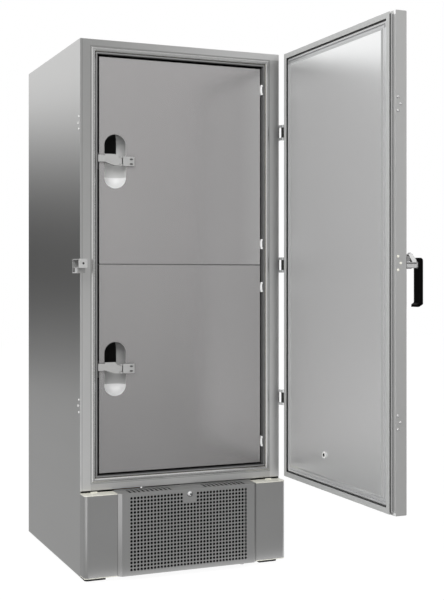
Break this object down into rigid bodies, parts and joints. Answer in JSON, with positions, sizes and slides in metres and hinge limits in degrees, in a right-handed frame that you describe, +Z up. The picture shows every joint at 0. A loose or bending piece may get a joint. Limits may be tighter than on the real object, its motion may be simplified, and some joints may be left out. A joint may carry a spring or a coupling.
{
  "type": "ultra low temperature freezer",
  "caption": "Upright stainless laboratory freezer with an open outer door, recessed inner doors with lever latches, shelved cold chamber and perforated machine plinth.",
  "frame": {"origin": "on the floor below the middle of the cabinet's front face, where the outer door shuts", "axes": "+X to the right as seen from the front, +Y towards the back, +Z up"},
  "size_m": [0.965, 1.668, 1.995],
  "materials": {
    "stainless": "satin",
    "bright_stainless": "polished",
    "chrome_fittings": "polished",
    "foam": "matte",
    "dark_trim": "matte",
    "grey_plastic": "satin",
    "cream_plastic": "satin",
    "black_rubber": "matte",
    "grey_rubber": "matte",
    "copper_pipe": "satin",
    "black_paint": "satin",
    "black_grip": "satin",
    "fins": "satin",
    "filter_felt": "matte",
    "grey_paint": "satin",
    "white_plastic": "gloss",
    "window": "gloss"
  },
  "bodies": {
    "cabinet": {"left_side_panel": "stainless", "right_side_panel": "stainless", "top_panel": "stainless", "back_panel": "grey_paint", "front_frame": "stainless", "frame_bead": "grey_plastic", "throat_trim": "dark_trim", "insulation": "foam", "chamber_liner": "bright_stainless", "evaporator_coil": "copper_pipe", "shelf_lower": "stainless", "shelf_middle": "stainless", "shelf_upper": "stainless", "shelf_supports": "stainless", "base_pan": "grey_paint", "compressor_high_stage": "black_paint", "compressor_low_stage": "black_paint", "compressor_mounts": "black_rubber", "air_filter": "filter_felt", "condenser": "fins", "fan_shroud": "black_paint", "fan_motor": "grey_paint", "cascade_exchanger": "bright_stainless", "electrical_box": "grey_paint", "power_inlet": "black_grip", "feet": "black_rubber", "plinth_cheek_left": "stainless", "plinth_cheek_right": "stainless", "cheek_caps": "cream_plastic", "striker": "chrome_fittings", "side_plugs": "stainless", "hinge_cabinet_leaves": "chrome_fittings", "throat_fittings": "grey_plastic"},
    "fan": {"fan_rotor": "black_grip"},
    "grille": {"plinth_grille": "stainless"},
    "lock": {"lock_barrel": "chrome_fittings"},
    "outer_door": {"door_pan": "stainless", "door_core": "foam", "door_liner": "bright_stainless", "liner_rim": "grey_plastic", "door_gasket": "grey_rubber", "hinge_door_leaves": "chrome_fittings", "edge_plugs": "stainless", "handle_plugs": "cream_plastic", "valve_ring": "white_plastic", "control_panel": "grey_plastic", "display_glass": "window", "latch_housing": "chrome_fittings"},
    "handle": {"handle_grip": "black_grip", "handle_claw": "chrome_fittings"},
    "inner_upper_door": {"inner_upper_skin": "bright_stainless", "inner_upper_core": "foam", "inner_upper_gasket": "grey_rubber", "inner_upper_fittings": "grey_plastic"},
    "upper_lever": {"inner_upper_lever": "grey_plastic"},
    "inner_lower_door": {"inner_lower_skin": "bright_stainless", "inner_lower_core": "foam", "inner_lower_gasket": "grey_rubber", "inner_lower_fittings": "grey_plastic"},
    "lower_lever": {"inner_lower_lever": "grey_plastic"}
  },
  "joints": [
    {"name": "outer_door_hinge", "type": "hinge", "parent": "cabinet", "child": "outer_door", "pos_m": [0.42, -0.0155, 1.164], "axis": [0, 0, 1], "range_deg": [-90, 25]},
    {"name": "handle_pull", "type": "hinge", "parent": "outer_door", "child": "handle", "pos_m": [0.5, -0.813, 1.1565], "axis": [0, -1, 0], "range_deg": [0, 14]},
    {"name": "inner_upper_hinge", "type": "hinge", "parent": "cabinet", "child": "inner_upper_door", "pos_m": [0.3332, 0.0084, 1.549], "axis": [0, 0, 1], "range_deg": [0, 90]},
    {"name": "inner_lower_hinge", "type": "hinge", "parent": "cabinet", "child": "inner_lower_door", "pos_m": [0.3332, 0.0084, 0.774], "axis": [0, 0, 1], "range_deg": [0, 90]},
    {"name": "upper_latch", "type": "hinge", "parent": "inner_upper_door", "child": "upper_lever", "pos_m": [-0.247, 0.006, 1.549], "axis": [0, 0, 1], "range_deg": [0, 90]},
    {"name": "lower_latch", "type": "hinge", "parent": "inner_lower_door", "child": "lower_lever", "pos_m": [-0.247, 0.006, 0.775], "axis": [0, 0, 1], "range_deg": [0, 90]},
    {"name": "grille_tilt", "type": "hinge", "parent": "cabinet", "child": "grille", "pos_m": [0, -0.045, 0.04], "axis": [1, 0, 0], "range_deg": [0, 70]},
    {"name": "lock_turn", "type": "hinge", "parent": "grille", "child": "lock", "pos_m": [0, -0.0695, 0.303], "axis": [0, 1, 0], "range_deg": [0, 90]},
    {"name": "fan_spin", "type": "hinge", "parent": "cabinet", "child": "fan", "pos_m": [-0.06, 0.095, 0.172], "axis": [0, 1, 0], "continuous": true}
  ]
}
